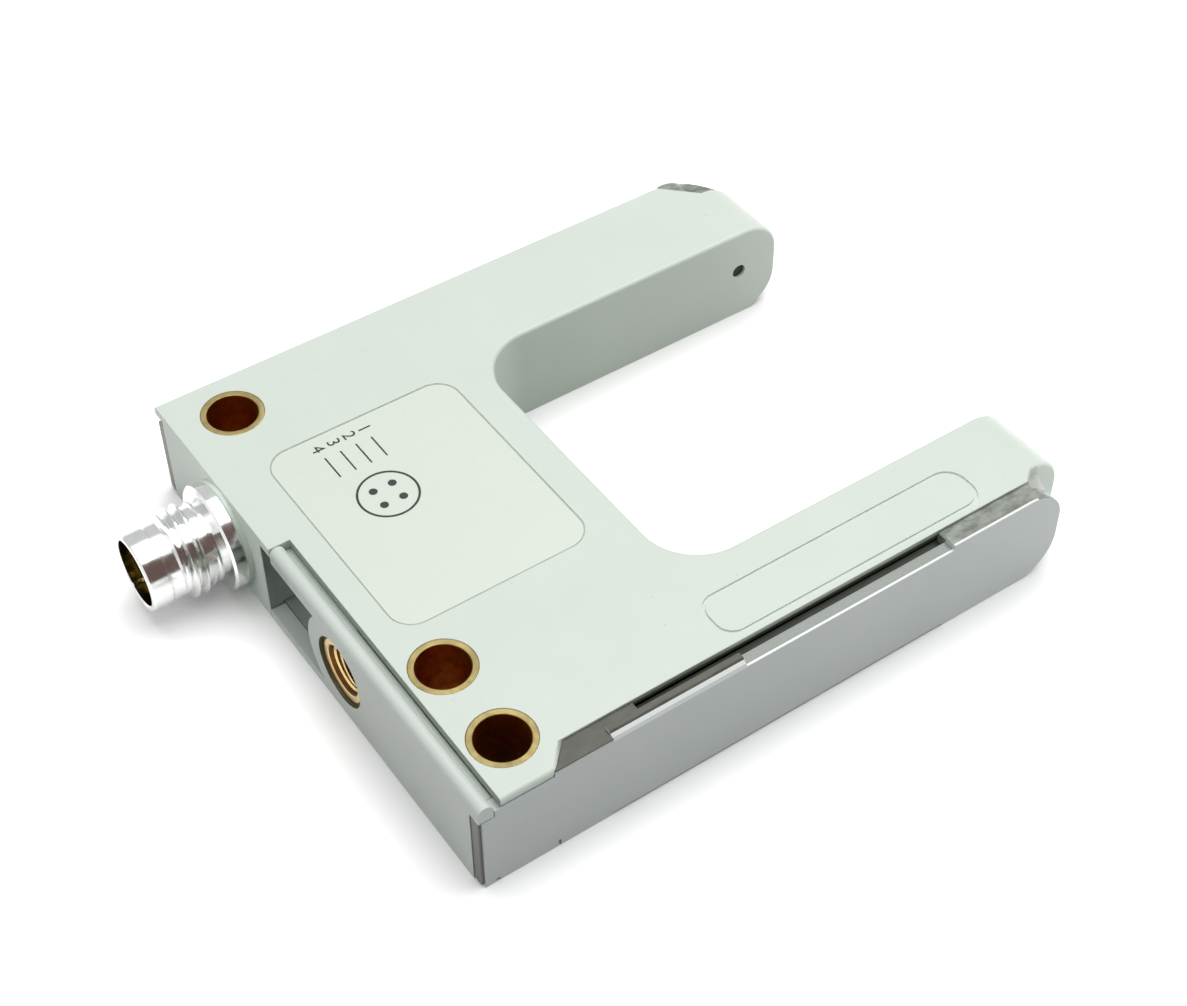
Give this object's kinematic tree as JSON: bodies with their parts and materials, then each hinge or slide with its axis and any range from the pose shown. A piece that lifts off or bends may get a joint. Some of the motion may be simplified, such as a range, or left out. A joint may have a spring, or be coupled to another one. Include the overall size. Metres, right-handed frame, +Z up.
{
  "type": "fork sensor",
  "caption": "Flat fork-shaped light barrier with two arms, brass-bushed fixing holes, a threaded rear insert and a round threaded plug at the back.",
  "frame": {"origin": "midway between the two outer fixing holes, on the underside", "axes": "+Z up through the fixing holes, +Y from the bridge to the arm tips, +X across the arms, away from the plug"},
  "size_m": [0.05, 0.0666, 0.0095],
  "materials": {
    "housing_grey": "satin moulded",
    "cover_grey": "satin moulded",
    "cover_silver": "smooth satin",
    "seal_dark": "glossy sealing compound",
    "label_foil": "smooth foil",
    "brass": "turned",
    "nickel": "bright nickel plate",
    "insulator_black": "moulded",
    "gold": "gold plate",
    "window_dark": "polished",
    "optic_clear": "clear moulded",
    "optic_dark": "dark moulded",
    "board_green": "solder mask",
    "chip_black": "moulded"
  },
  "bodies": {
    "root": {"housing": "housing_grey", "bottom_cover": "cover_grey", "side_cover_right": "cover_silver", "side_cover_left": "cover_silver", "rear_cover": "cover_grey", "joint_seal": "seal_dark", "tip_seal_left": "seal_dark", "corner_seal_right": "seal_dark", "corner_seal_left": "seal_dark", "label_foil": "label_foil", "mount_bush_left": "brass", "mount_bush_middle": "brass", "mount_bush_right": "brass", "threaded_insert": "brass", "plug_shell": "nickel", "plug_insulator": "insulator_black", "contact_1": "gold", "contact_2": "gold", "contact_3": "gold", "contact_4": "gold", "emitter_window": "window_dark", "receiver_window": "window_dark", "emitter": "optic_clear", "receiver": "optic_dark", "circuit_board": "board_green", "control_chip": "chip_black", "output_driver": "chip_black"}
  },
  "joints": []
}
